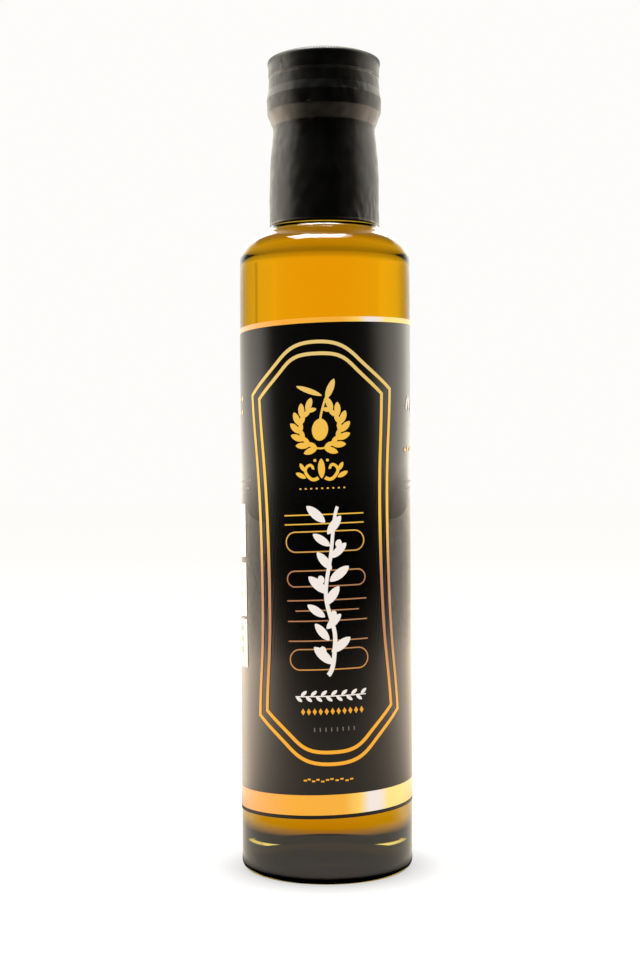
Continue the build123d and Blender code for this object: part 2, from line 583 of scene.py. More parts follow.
def flint_glass():
    """Blown flint glass. Clear and glossy, with the long soft waves that the mould leaves."""
    material, tree = fresh_material("flint_glass_blown")
    place = node(tree, "TexCoord")
    waves = node(tree, "Mapping", {0: place.outputs["Object"]}, in_3=(1, 1, 0.35))
    noise = node(tree, "TexNoise", {"Vector": waves}, in_2=60, in_3=1)
    bump = node(tree, "Bump", {"Height": noise}, in_0=0.25, in_1=0.25 * MM)
    glass = node(tree, "BsdfPrincipled", {"Normal": bump}, {
        "Base Color": linear("#fbfefc"), "Roughness": 0.0, "IOR": GLASS_IOR, "Transmission Weight": 1.0,
    })
    close_material(tree, glass)
    return material


def wetted_glass():
    """Flint glass under oil. The two bend light almost alike, so this side hardly shows."""
    material, tree = fresh_material("flint_glass_wetted")
    ratio = GLASS_IOR / OIL_IOR
    glass = node(tree, "BsdfPrincipled", {}, {
        "Base Color": linear("#ffffff"), "Roughness": 0.0, "IOR": ratio, "Transmission Weight": 1.0,
    })
    close_material(tree, glass)
    return material


def pressed_oil():
    """Filtered olive oil. Clear, and deeper yellow the more of it the light passes.

    It lies in the glass, whose wetted side already bends the light, so its own skin doesn't."""
    material, tree = fresh_material("filtered_olive_oil")
    oil = node(tree, "BsdfPrincipled", {}, {
        "Base Color": linear("#ffffff"), "Roughness": 0.0, "IOR": 1.0, "Transmission Weight": 1.0,
    })
    depth = node(tree, "VolumeAbsorption", in_0=(0.985, 0.835, 0.0, 1), in_1=150.0)
    close_material(tree, oil, depth)
    return material


def moulded_cap():
    """Moulded polypropylene. A fine even grain from the mould breaks up its gloss."""
    material, tree = fresh_material("polypropylene_moulded")
    place = node(tree, "TexCoord")
    grain = node(tree, "TexNoise", {"Vector": place.outputs["Object"]}, in_2=2500, in_3=3)
    bump = node(tree, "Bump", {"Height": grain}, in_0=0.2, in_1=0.02 * MM)
    plastic = node(tree, "BsdfPrincipled", {"Normal": bump}, {
        "Base Color": linear("#1a1a1a"), "Roughness": 0.45,
    })
    close_material(tree, plastic)
    return material


def shrink_film(black):
    """Heat-shrunk PVC film. Satin black, with fine lines drawn down it where it shrank."""
    material, tree = fresh_material("pvc_film_heat_shrunk")
    place = node(tree, "TexCoord")
    drawn = node(tree, "Mapping", {0: place.outputs["Object"]}, in_3=(1, 1, 0.12))
    lines = node(tree, "TexNoise", {"Vector": drawn}, in_2=900, in_3=3)
    blotches = node(tree, "TexNoise", {"Vector": place.outputs["Object"]}, in_2=260, in_3=4)
    rough = node(tree, "MapRange", {0: blotches}, in_1=0.3, in_2=0.7, in_3=0.28, in_4=0.42)
    bump = node(tree, "Bump", {"Height": lines}, in_0=0.35, in_1=0.05 * MM)
    film = node(tree, "BsdfPrincipled", {"Normal": bump, "Roughness": rough}, {
        "Base Color": linear(black), "IOR": 1.53,
    })
    close_material(tree, film)
    return material


def laminated_film(black):
    """Printed and laminated polypropylene film. Deep black under an even soft gloss."""
    material, tree = fresh_material("polypropylene_film_laminated")
    film = node(tree, "BsdfPrincipled", {}, {"Base Color": linear(black), "Roughness": 0.26, "IOR": 1.5})
    close_material(tree, film)
    return material


def ink(name, shade):
    """Screen ink under the laminate. Even colour with the laminate's own gloss.

    The shade is a hex value, or a function that adds the ink's tones to the tree."""
    material, tree = fresh_material(name)
    place = node(tree, "TexCoord").outputs["Object"]
    grain = node(tree, "TexNoise", {"Vector": place}, in_2=3000, in_3=2)
    bump = node(tree, "Bump", {"Height": grain}, in_0=0.1, in_1=0.01 * MM)
    paint = node(tree, "BsdfPrincipled", {"Normal": bump}, {"Roughness": 0.3})
    if callable(shade):
        tree.links.new(shade(tree, place), paint.inputs["Base Color"])
    else:
        paint.inputs["Base Color"].default_value = linear(shade)
    close_material(tree, paint)
    return material


def gold_tones(tree, place):
    """From amber at the label's foot to copper, bright gold and pale gold at its head."""
    finish = sizes()[2]
    parts = node(tree, "SeparateXYZ", {0: place})
    height = node(tree, "MapRange", {0: parts.outputs["Z"]}, in_1=0.018, in_2=0.155)
    tones = node(tree, "ValToRGB", {0: height})
    ramp_stops(tones, [
        (0.0, linear(finish.gold_amber)),
        (0.20, linear(finish.gold_amber)),
        (0.36, linear(finish.gold_copper)),
        (0.48, linear(finish.gold_copper)),
        (0.60, linear(finish.gold_bright)),
        (0.76, linear(finish.gold_bright)),
        (0.92, linear(finish.gold_pale)),
    ])
    return tones.outputs[0]


def band_painted_reflection(tree, place):
    """Painted reflection on the gold, set by angle round the bottle: from rose gold through amber to a
    painted highlight, a pale glint that stays in one place.
    """
    parts = node(tree, "SeparateXYZ", {0: place})
    front = node(tree, "Math", {0: parts.outputs["Y"]}, operation="MULTIPLY", in_1=-1.0)
    angle = node(tree, "Math", {0: parts.outputs["X"], 1: front}, operation="ARCTAN2")
    way_round = node(tree, "MapRange", {0: angle}, in_1=-math.pi, in_2=math.pi)
    tones = node(tree, "ValToRGB", {0: way_round})
    ramp_stops(tones, [(share, linear(shade)) for share, shade in BAND_PAINTED_REFLECTION])
    return tones.outputs[0]


# share of the way round from the back by the left side, and the colour there: the gold band's painted
# reflection, with its painted highlight near 0.58
BAND_PAINTED_REFLECTION = (
    (0.00, "#f5ab28"), (0.22, "#f2a08a"), (0.31, "#ffb070"), (0.37, "#fdaa50"), (0.44, "#f5ab28"),
    (0.53, "#f5ae2c"), (0.56, "#fdd060"), (0.578, "#f0e4dc"), (0.60, "#f0e4dc"), (0.62, "#ffe080"),
    (0.66, "#ffe080"), (0.74, "#ffb880"), (0.90, "#f5ab28"),
)


# ---------------------------------------------------------------- pieces

def sizes():
    """The three groups of settings."""
    scene = bpy.context.scene
    return scene.bottle_sizes, scene.label_sizes, scene.bottle_finishes


class OIL_BOTTLE_OT_glass(bpy.types.Operator):
    """Add the hollow glass bottle"""

    bl_idname = "oil_bottle.glass"
    bl_label = "Glass bottle"

    def execute(self, context):
        bottle = sizes()[0]
        outside = outside_line(bottle)
        inside = inside_line(bottle)
        brim = rounded([
            (*outside[-2], 0),
            (*outside[-1], bottle.brim_round),
            (*inside[-1], bottle.brim_round),
            (*inside[-2], 0),
        ], steps=5)
        outline = filled_in(outside[:-2] + brim + inside[-3::-1], 4 * MM)
        glass = turned("bottle_glass", outline)
        finished(glass, flint_glass(), "glass_bottle")
        glass.data.materials.append(wetted_glass())
        for face in glass.data.polygons:
            face.material_index = int(wetted(face.center, face.normal))
        return {"FINISHED"}


def wetted(centre, normal):
    """True for a face of the glass that the oil lies on."""
    out = (centre.x * normal.x + centre.y * normal.y) / math.hypot(centre.x, centre.y)
    at_foot = centre.z < 15 * MM
    wall = out < -0.05 and (normal.z > -0.5 or not at_foot)
    floor = normal.z > 0.5 and at_foot
    return centre.z < OIL_HIGH.z and (wall or floor)


class OIL_BOTTLE_OT_oil(bpy.types.Operator):
    """Fill the bottle with oil, which reaches just into the glass"""

    bl_idname = "oil_bottle.oil"
    bl_label = "Oil"

    def execute(self, context):
        inside = inside_line(sizes()[0], sizes()[0].oil_reach)
        level = OIL_HIGH.z
        below = [point for point in inside if point[1] < level]
        under, over = below[-1], inside[len(below)]
        share = (level - under[1]) / (over[1] - under[1])
        rim = (under[0] + (over[0] - under[0]) * share, level)
        outline = filled_in(below + [rim, (0, level)], 4 * MM)
        finished(turned("oil_fill", outline), pressed_oil(), "oil")
        return {"FINISHED"}


class OIL_BOTTLE_OT_cap(bpy.types.Operator):
    """Give the screw cap its moulded plastic"""

    bl_idname = "oil_bottle.cap"
    bl_label = "Screw cap"

    def execute(self, context):
        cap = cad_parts["screw_cap"]
        cap.data.materials.clear()
        cap.data.materials.append(moulded_cap())
        return {"FINISHED"}


class OIL_BOTTLE_OT_capsule(bpy.types.Operator):
    """Shrink the capsule's film over the neck and the cap"""

    bl_idname = "oil_bottle.capsule"
    bl_label = "Shrink capsule"

    def execute(self, context):
        bottle, _, finish = sizes()
        top = CAPSULE_HIGH.z
        lift = 0.15 * MM
        neck = bottle.neck_radius + lift
        throat = (bottle.throat_radius + lift, GLASS_HIGH.z - bottle.throat_depth)
        taper = (neck, GLASS_HIGH.z - bottle.neck_length + bottle.neck_straight)
        band = CAPSULE_HIGH.x
        hem = CAPSULE_LOW.z - 0.4 * MM
        over = rounded([
            (*throat, 0),
            (throat[0], throat[1] + 1.3 * MM, 1.6 * MM),
            (band - 0.15 * MM, CAP_LOW.z + 0.5 * MM, 1.0 * MM),
            (band + 0.05 * MM, CAP_LOW.z + 4.4 * MM, 0.35 * MM),
            (band - 0.4 * MM, CAP_LOW.z + 6.8 * MM, 0.8 * MM),
            (band - 0.5 * MM, top - 6.4 * MM, 0.5 * MM),
            (band - 0.62 * MM, top - 6.0 * MM, 0.3 * MM),
            (band - 0.42 * MM, top - 5.5 * MM, 0.5 * MM),
            (band - 0.35 * MM, top, 1.7 * MM),
            (11.6 * MM, top, 0.4 * MM),
            (11.2 * MM, top - 0.3 * MM, 0.4 * MM),
            (0, top - 0.3 * MM, 0),
        ], steps=6)
        outline = [(neck, hem)] + [taper] + tangent_arc(taper, throat, UP, 12) + over[1:]
        film = turned("capsule_film", filled_in(outline, 0.9 * MM), FILM_AROUND)
        crumple(film, "knurl", 0.22 * MM, knurl_weight, None)
        soft = bpy.data.textures.new("slack", "CLOUDS")
        soft.noise_scale = 6 * MM
        crumple(film, "slack", 0.30 * MM, slack_weight, soft)
        sharp = bpy.data.textures.new("creases", "CLOUDS")
        sharp.noise_scale = 1.8 * MM
        sharp.noise_depth = 3
        crumple(film, "creases", 0.8 * MM, crease_weight, sharp)
        apply_modifier(film, "SOLIDIFY", thickness=bottle.film, offset=-1)
        finished(film, shrink_film(finish.capsule_black), "shrink_capsule")
        return {"FINISHED"}


def round_angle(co):
    """Angle round the axis from the front, positive to the right."""
    return math.atan2(co.x, -co.y)


def near(value, middle, spread):
    """1 at the middle, falling to nothing beyond the spread."""
    return math.exp(-((value - middle) / spread) ** 2)


def knurl_weight(co):
    """The cap's fine ribs, which show through the film near its upper edge."""
    from_top = CAPSULE_HIGH.z - co.z
    if math.hypot(co.x, co.y) < CAP_HIGH.x - 0.6 * MM or from_top > 6 * MM:
        return 0.0
    rib = round(round_angle(co) / (2 * math.pi) * FILM_AROUND) % 2
    return rib * near(from_top, 0.9 * MM, 1.3 * MM)


def slack_weight(co):
    """The film lies a little uneven everywhere but over the top."""
    return 1.0 if co.z < CAPSULE_HIGH.z - 3 * MM else 0.0


CREASES = (
    # angle, height above the floor, spread round, spread up, strength
    (-0.82, 0.2262, 0.10, 0.0022, 1.0),
    (0.66, 0.2200, 0.30, 0.0020, 0.6),
    (0.95, 0.1872, 0.22, 0.0040, 1.0),
    (0.65, 0.1835, 0.12, 0.0012, 0.9),
    (-1.25, 0.1832, 0.30, 0.0010, 0.5),
    (-1.00, 0.2050, 0.22, 0.0060, 0.45),
    (-1.10, 0.1930, 0.16, 0.0040, 0.35),
    (-0.90, 0.2165, 0.20, 0.0016, 0.5),
    (0.35, 0.2190, 0.16, 0.0010, 0.6),
    (2.4, 0.1850, 0.25, 0.0030, 0.8),
)


def crease_weight(co):
    """Places where the film creased as it shrank."""
    angle = round_angle(co)
    return min(1.0, sum(
        strength * near(angle, at, wide) * near(co.z, height, tall)
        for at, height, wide, tall, strength in CREASES
    ))


def crumple(piece, name, strength, weight, texture):
    """Push a skin in and out by a weight at each of its places."""
    group = piece.vertex_groups.new(name=name)
    for vertex in piece.data.vertices:
        share = weight(vertex.co)
        if share > 0.001:
            group.add([vertex.index], share, "REPLACE")
    apply_modifier(
        piece, "DISPLACE", strength=strength, mid_level=0.5 if texture else 0.0, vertex_group=name,
        texture=texture, texture_coords="LOCAL",
    )
    piece.vertex_groups.clear()


class OIL_BOTTLE_OT_label(bpy.types.Operator):
    """Wrap the black label film round the body"""

    bl_idname = "oil_bottle.label"
    bl_label = "Label film"

    def execute(self, context):
        _, label, finish = sizes()
        low, high, half = label_edges()
        sheet = joined("label_film", [bar(-half, low, half, high, label.sunk + label.proud)])
        laid_round(sheet, -label.sunk)
        finished(sheet, laminated_film(finish.film_black), "label")
        return {"FINISHED"}


def label_edges():
    """Lower edge, upper edge and half width of the flat label in the print's millimetres."""
    label = sizes()[1]
    low = (label.foot_gap - label.origin_height) / MM
    half = (math.pi * GLASS_HIGH.x - label.seam / 2) / MM * math.cos(label.skew)
    return low, low + label.height / MM, half


def ink_depths():
    """Thickness of plain print and of fine print."""
    label = sizes()[1]
    return label.ink + INK_SUNK, label.fine_ink + INK_SUNK


def printed(name, parts, material):
    """Join printed shapes, lay them on the film and finish them."""
    piece = joined(name, parts)
    laid_round(piece, sizes()[1].proud - INK_SUNK)
    finished(piece, material)


class OIL_BOTTLE_OT_bands(bpy.types.Operator):
    """Print the gold line along the label's head and the gold band along its foot"""

    bl_idname = "oil_bottle.bands"
    bl_label = "Gold bands"

    def execute(self, context):
        low, high, half = label_edges()
        depth = ink_depths()[0]
        # the band's gold carries a painted reflection and highlight fixed round the bottle
        gold = ink("gold_ink_band_painted_reflection", band_painted_reflection)
        printed("label_foot_band", [bar(-half, low + 1.0, half, low + 6.5, depth)], gold)
        printed("label_head_line", [bar(-half, high - 1.4, half, high, depth)], gold)
        return {"FINISHED"}


FRAME_MIDDLE = -0.45
FRAME_WIDTH = 0.98
OUTER_FRAME = (
    # right half from the top, in millimetres: place, then handle where the line is smooth
    (0.0, 62.0, 5.5, 0.0),
    (11.4, 57.4, 3.3, -3.2),
    (22.3, 48.5),
    (19.75, 3.0, 0.0, -28.0),
    (22.2, -40.3),
    (12.0, -49.0, -3.6, -3.6),
    (0.0, -53.6, -5.5, 0.0),
)
INNER_FRAME = (
    (0.0, 58.8, 5.0, 0.0),
    (10.1, 55.2, 2.9, -3.0),
    (19.1, 47.2),
    (17.05, 2.0, 0.0, -26.0),
    (19.3, -38.9),
    (10.6, -46.6, -3.2, -3.2),
    (0.0, -50.4, -5.0, 0.0),
)


def both_halves(right):
    """A closed outline from its right half, mirrored about the frame's middle."""
    points = [(FRAME_MIDDLE + x, y, *handle) for x, y, *handle in right]
    for x, y, *handle in reversed(right[1:-1]):
        turned_handle = (handle[0], -handle[1]) if handle else ()
        points.append((FRAME_MIDDLE - x, y, *turned_handle))
    return points


class OIL_BOTTLE_OT_frame(bpy.types.Operator):
    """Print the two gold lines that frame the front"""

    bl_idname = "oil_bottle.frame"
    bl_label = "Label frame"

    def execute(self, context):
        depth = ink_depths()[0]
        rings = [ring_line(both_halves(half), FRAME_WIDTH, depth) for half in (OUTER_FRAME, INNER_FRAME)]
        printed("label_frame", rings, ink("gold_ink_screened", gold_tones))
        return {"FINISHED"}


class OIL_BOTTLE_OT_emblem(bpy.types.Operator):
    """Print a wreath of olive leaves round an olive, and a flourish under it"""

    bl_idname = "oil_bottle.emblem"
    bl_label = "Emblem"

    def execute(self, context):
        depth = ink_depths()[0]
        middle, height, ring = -0.3, 38.2, 5.7
        outer, inner = [], []
        for side in (-1, 1):
            for step in range(7):
                turn = math.radians(10 + 22 * step)
                x = middle + side * ring * math.sin(turn)
                y = height - ring * math.cos(turn)
                along = 90 - side * (90 - math.degrees(turn))
                outer.append((x, y, along - side * 30, 1.0))
                inner.append((x, y, along + side * 26, 0.72))
        parts = copies(leaf(3.9, 1.75, (0, 0), 0, depth), outer + inner)
        for side in (-1, 1):
            stem = [
                (middle, height - ring, side * 3.1, 0),
                (middle + side * ring, height, 0, 3.1),
                (middle + side * 2.2, height + 5.4, side * -1.6, 1.0),
            ]
            parts.append(stroke(stem, 0.5, depth))
        parts += [
            disc(4.4, 6.0, (middle, height - 0.6), depth, -8),
            stroke([(-0.1, 40.4, 0.2, 1.6), (1.6, 46.2, 0.6, 1.4)], 0.6, depth),
            leaf(6.0, 1.9, (1.6, 45.8), 66, depth),
            leaf(7.6, 1.5, (0.6, 46.8), 158, depth),
        ]
        for side in (-1, 1):
            scroll = [
                (middle + side * 0.9, 24.6, side * 1.3, -0.9),
                (middle + side * 3.9, 25.3, side * 0.9, 1.2),
                (middle + side * 3.6, 27.9, side * -0.9, 0.6),
                (middle + side * 2.3, 26.9, side * 0.1, -0.5),
            ]
            parts += [
                stroke(scroll, 0.95, depth, taper=(1.0, 0.75)),
                leaf(3.2, 1.3, (middle + side * 4.3, 24.6), 90 - side * 62, depth),
                leaf(2.6, 1.1, (middle + side * 4.6, 26.4), 90 - side * 30, depth),
                disc(0.8, 0.8, (middle + side * 1.7, 29.3), depth),
            ]
        parts.append(leaf(5.4, 1.9, (middle, 24.4), 90, depth))
        dashes = copies(bar(-0.25, -0.2, 0.25, 0.2, depth), [(x * 1.5 - 6.3, 21.7) for x in range(9)])
        printed("label_emblem", parts + dashes, ink("gold_ink_screened", gold_tones))
        return {"FINISHED"}


class OIL_BOTTLE_OT_branch(bpy.types.Operator):
    """Print a cream olive branch up the middle, and a garland of leaves under it"""

    bl_idname = "oil_bottle.branch"
    bl_label = "Branch and garland"

    def execute(self, context):
        finish = sizes()[2]
        depth = ink_depths()[0]
        stem = [
            (-0.6, -29.0, 1.6, 1.4),
            (1.6, -20.0, 0.4, 4.0),
            (-0.4, -8.0, -0.2, 4.0),
            (1.4, 4.0, 0.6, 4.0),
            (3.6, 16.6, 1.2, 2.4),
        ]
        leaves, olives = [], []
        for step in range(13):
            height = -26.0 + step * 3.2
            side = 1 if step % 2 else -1
            sway = 0.5 + 1.0 * math.sin(height / 4.4 + 1.2) + height * 0.03
            lean = 90 - side * (46 + 9 * math.sin(step * 2.1))
            leaves.append((sway, height, lean, 1.0 + 0.1 * math.cos(step)))
            if step % 3 == 1:
                olives.append((sway - side * 2.3, height + 0.6, side * 20, 1.0))
        parts = copies(leaf(6.2, 2.4, (0, 0), 0, depth), leaves)
        parts += copies(disc(1.7, 2.2, (0, 0), depth), olives)
        parts.append(stroke(stem, 1.25, depth, taper=(1.0, 0.7)))
        garland = []
        for step in range(14):
            side = 1 if step % 2 else -1
            garland.append((-9.7 + step * 1.38, -34.6 + side * 0.15, side * 38, 1.0))
        parts += copies(leaf(2.1, 0.95, (0, 0), 0, depth), garland)
        parts.append(bar(-9.9, -34.8, 9.7, -34.5, depth))
        printed("label_branch", parts, ink("cream_ink_screened", finish.cream))
        return {"FINISHED"}


class OIL_BOTTLE_OT_rules(bpy.types.Operator):
    """Print the thin gold rules, round-ended outlines and lozenges"""

    bl_idname = "oil_bottle.rules"
    bl_label = "Rules and lozenges"

    def execute(self, context):
        finish = sizes()[2]
        thin = ink_depths()[1]
        parts = [ring_line(pill(-11.2, low, 10.9, high), 0.34, thin) for low, high in RULED_BOXES]
        for left, right, height in RULES:
            parts.append(bar(left, height - 0.17, right, height + 0.17, thin))
        parts += copies(
            disc(1.15, 1.9, (0, 0), thin, 0, 4), [(-7.9 + 1.62 * step, -38.8) for step in range(11)]
        )
        parts += copies(
            bar(-0.45, -0.22, 0.45, 0.22, thin), [(x - 1.6, -57.4 + rise) for x, rise in FOOT_MARKS]
        )
        printed("label_rules", parts, ink("gold_ink_screened", gold_tones))
        dots = copies(bar(-0.16, -0.55, 0.16, 0.55, thin), [(-4.9 + 1.55 * step, -43.7) for step in range(8)])
        printed("label_grey_marks", dots, ink("grey_ink_screened", finish.grey))
        return {"FINISHED"}


RULED_BOXES = ((4.4, 10.2), (-5.0, -0.4), (-27.6, -21.7))
RULES = (
    # from, to, height
    (-11.3, 10.9, 14.6),
    (-11.3, 10.9, 12.1),
    (-11.3, 10.9, -8.6),
    (-9.0, 8.6, -11.4),
    (-11.3, 10.9, -14.2),
    (-11.3, 10.9, -19.6),
)
FOOT_MARKS = (
    (-6.4, 0.0), (-5.3, 0.3), (-4.1, -0.2), (-2.9, 0.2), (-1.6, -0.3), (-0.3, 0.1), (0.9, 0.3),
    (2.3, -0.1), (3.6, 0.2), (5.0, -0.3), (6.3, 0.0),
)


class OIL_BOTTLE_OT_side_print(bpy.types.Operator):
    """Print the pale panels on the left and the small marks on both sides"""

    bl_idname = "oil_bottle.side_print"
    bl_label = "Side panels"

    def execute(self, context):
        finish = sizes()[2]
        thick, thin = ink_depths()
        parts = [bar(-52.0, low, -28.3, high, thin) for low, high in SIDE_PANELS]
        parts += [leaf(*size, (x, 42.4), angle, thin) for size, x, angle in SIDE_LEAVES]
        printed("label_side_panels", parts, ink("white_ink_screened", finish.white))
        for row, name in enumerate(("red", "green", "orange")):
            cells = [(-33.4, 14.6 - row * 3.0 - panel * PANEL_PITCH) for panel in range(3)]
            parts = copies(bar(-1.7, -0.8, 1.7, 0.8, thick), cells)
            printed("label_cells_" + name, parts, ink(name + "_ink_screened", getattr(finish, name)))
        places = [(-29.6, 48.0), (-29.9, 44.2), (-32.6, 48.0), (-32.9, 44.2)]
        places += [(28.9 + 2.3 * step, 31.4 + 0.3 * (step % 2), 0, 0.9) for step in range(4)]
        lozenges = copies(disc(1.6, 1.6, (0, 0), thin, 0, 4), places)
        printed("label_side_lozenges", lozenges, ink("gold_ink_screened", gold_tones))
        marks = []
        for left, right, height in SIDE_LINES:
            places = [(left + 1.5 * step, height) for step in range(int((right - left) / 1.5) + 1)]
            marks += copies(bar(-0.5, -0.25, 0.5, 0.25, thin), places)
        for panel in range(3):
            for row in range(5):
                high = 16.6 - panel * PANEL_PITCH - row * 2.6
                marks.append(bar(-50.0, high - 0.3, -37.0, high, thick))
        printed("label_side_marks", marks, ink("grey_ink_side", finish.grey))
        return {"FINISHED"}


SIDE_PANELS = ((3.5, 18.3), (-13.2, 1.8), (-27.5, -14.0))        # lower and upper edge
SIDE_LEAVES = (((5.0, 1.6), 30.0, 64), ((4.6, 1.5), 32.6, 78), ((4.2, 1.4), 35.0, 52))
PANEL_PITCH = 15.6
# from, to, height
SIDE_LINES = ((-44.0, -24.2, 24.8), (-44.0, -24.6, 22.6), (29.4, 37.0, 22.4), (29.8, 36.4, 20.4))


class OIL_BOTTLE_OT_stage(bpy.types.Operator):
    """Set the pale floor, the soft studio light and the camera"""

    bl_idname = "oil_bottle.stage"
    bl_label = "Studio"

    def execute(self, context):
        scene = context.scene
        deselect()
        bpy.ops.mesh.primitive_plane_add(size=8, location=(0, 3.3, 0))
        bpy.ops.object.transform_apply(location=True)
        floor = context.object
        floor.name = "studio_floor"
        floor.data.materials.append(pale_floor())
        scene.world = studio_world()
        scene.view_settings.view_transform = "Standard"
        scene.cycles.transmission_bounces = 24
        scene.cycles.max_bounces = 32
        scene.cycles.transparent_max_bounces = 16
        scene.cycles.glossy_bounces = 6

        bpy.ops.object.light_add(type="AREA", location=(-0.15, 0.0, 1.4))
        lamp = context.object
        lamp.name = "overhead_softbox"
        lamp.visible_transmission = False
        lamp.data.shape = "RECTANGLE"
        lamp.data.size, lamp.data.size_y = SOFTBOX
        lamp.data.energy = SOFTBOX_RADIANCE * math.pi * SOFTBOX[0] * SOFTBOX[1]

        eye = bpy.data.cameras.new("studio_camera")
        eye.lens = EYE_LENS
        eye.sensor_width = 36
        eye.clip_start = 0.01
        eye.clip_end = 50
        camera = bpy.data.objects.new("studio_camera", eye)
        scene.collection.objects.link(camera)
        camera.location = EYE_PLACE
        camera.rotation_euler = [math.radians(degrees) for degrees in EYE_TURN]
        scene.camera = camera
        return {"FINISHED"}


SOFTBOX = (0.9, 0.6)            # metres
SOFTBOX_RADIANCE = 12
EYE_PLACE = (-1.634 * MM, -444.4 * MM, 109.6 * MM)
EYE_TURN = (90.085, 0.271, 0)
EYE_LENS = 58.125


def straight_light(tree, ray, ahead):
    """1 for light that passed the glass without bouncing inside it, little for light that did. This is
    painted shade, which darkens the thick foot where light bounced inside the glass.

    A backdrop counts one step ahead of a surface."""
    steps = node(tree, "Math", {0: ray.outputs["Ray Depth"]}, operation="SUBTRACT", in_1=ahead)
    bounced = node(tree, "Math", {0: steps, 1: ray.outputs["Transmission Depth"]}, operation="SUBTRACT")
    inside = node(tree, "Math", {
        0: bounced, 1: ray.outputs["Is Transmission Ray"],
    }, operation="MULTIPLY", use_clamp=True)
    return node(tree, "MapRange", {0: inside}, in_3=1.0, in_4=0.02)


# how bright the card looks through the glass at each distance from the bottle, in metres: a painted shadow,
# dark close to the bottle's foot and dimmer again at middle distances
CARD_THROUGH_GLASS = (
    (0.056, 0.0), (0.060, 0.6), (0.072, 0.7), (0.10, 0.8), (0.32, 0.36), (1.0, 0.62), (3.0, 0.95),
)
CARD_REACH = 4.0


def pale_floor():
    """Matt white card that mostly glows and is partly lit from all sides. Pale, a touch warmer towards the
    front, with little cast shadow, painted shadows close to the bottle and painted light where the films and
    glass mirror it.
    """
    material, tree = fresh_material("white_card_matt")
    material.cycles.emission_sampling = "NONE"
    place = node(tree, "TexCoord").outputs["Object"]
    parts = node(tree, "SeparateXYZ", {0: place})
    across, away = parts.outputs["X"], parts.outputs["Y"]
    reach = node(tree, "VectorMath", {0: place}, operation="LENGTH").outputs["Value"]
    ray = node(tree, "LightPath")
    through = ray.outputs["Is Transmission Ray"]

    # the card as it is seen, straight and through the glass, with a painted shadow of the bottle where it is
    # seen through the glass
    back = node(tree, "MapRange", {0: away}, in_1=-0.2, in_2=0.7)
    tones = node(tree, "ValToRGB", {0: back})
    ramp_stops(tones, [(0.0, linear("#fcfaf8")), (0.35, linear("#fefefd")), (1.0, linear("#fdfcfa"))])
    share_out = node(tree, "MapRange", {0: reach}, in_2=CARD_REACH)
    shade = node(tree, "ValToRGB", {0: share_out})
    ramp_stops(shade, [
        (metres / CARD_REACH, (level, level, level, 1)) for metres, level in CARD_THROUGH_GLASS
    ])
    open_card = node(tree, "Math", {1: through}, operation="SUBTRACT", in_0=1.0)
    under = node(tree, "Math", {0: shade, 1: open_card}, operation="MAXIMUM")
    left = node(tree, "Math", {0: under, 1: straight_light(tree, ray, 0.0)}, operation="MULTIPLY")
    # painted contact shadow: the glowing card is darker close to the bottle's foot
    foot = node(tree, "MapRange", {0: reach}, in_1=0.0245, in_2=0.033, in_3=0.74, in_4=1.0)
    seen_level = node(tree, "Math", {0: left, 1: foot}, operation="MULTIPLY")
    seen = node(tree, "Emission", {0: tones, 1: seen_level})
    card = node(tree, "BsdfDiffuse", {0: tones})
    share = node(tree, "MapRange", {0: through}, in_3=0.12, in_4=0.0)
    lit = node(tree, "MixShader", {0: share, 1: seen, 2: card})

    # the card in the soft gloss of the films: painted light, as the card glows warm here, brighter behind and
    # at both sides, dark near by
    front = node(tree, "MapRange", {0: away}, in_1=-0.33, in_2=-0.17)
    clear = node(tree, "MapRange", {0: reach}, in_1=0.09, in_2=0.13)
    wide = node(tree, "MapRange", {0: away}, in_1=-0.12, in_2=0.10, in_3=1.0, in_4=1.95)
    left_side = node(tree, "MapRange", {0: across}, in_1=-0.6, in_2=-0.1, in_3=2.0, in_4=1.0)
    right_side = node(tree, "MapRange", {0: across}, in_1=0.08, in_2=0.3, in_3=1.0, in_4=1.5)
    level = front
    for factor in (clear, wide, left_side, right_side):
        level = node(tree, "Math", {0: level, 1: factor}, operation="MULTIPLY")
    soft = node(tree, "Emission", {1: level}, in_0=(1.25, 1.03, 0.80, 1))

    # the card as the bare glass mirrors it: only what lies behind or close to the foot
    behind = node(tree, "MapRange", {0: away}, in_1=-0.01, in_2=0.03)
    near_foot = node(tree, "MapRange", {0: reach}, in_1=0.093, in_2=0.083)
    either = node(tree, "Math", {0: behind, 1: near_foot}, operation="MAXIMUM")
    # painted contact shadow in the mirrored card, close to the foot
    contact = node(tree, "MapRange", {0: reach}, in_1=0.026, in_2=0.033)
    mirror_level = node(tree, "Math", {0: either, 1: contact}, operation="MULTIPLY")
    sharp = node(tree, "Emission", {1: mirror_level}, in_0=(1.2, 1.08, 0.9, 1))

    mirrored = node(tree, "MixShader", {0: ray.outputs["Is Singular Ray"], 1: soft, 2: sharp})
    in_gloss = node(tree, "Math", {
        0: ray.outputs["Is Glossy Ray"], 1: through,
    }, operation="SUBTRACT", use_clamp=True)
    close_material(tree, node(tree, "MixShader", {0: in_gloss, 1: lit, 2: mirrored}))
    return material


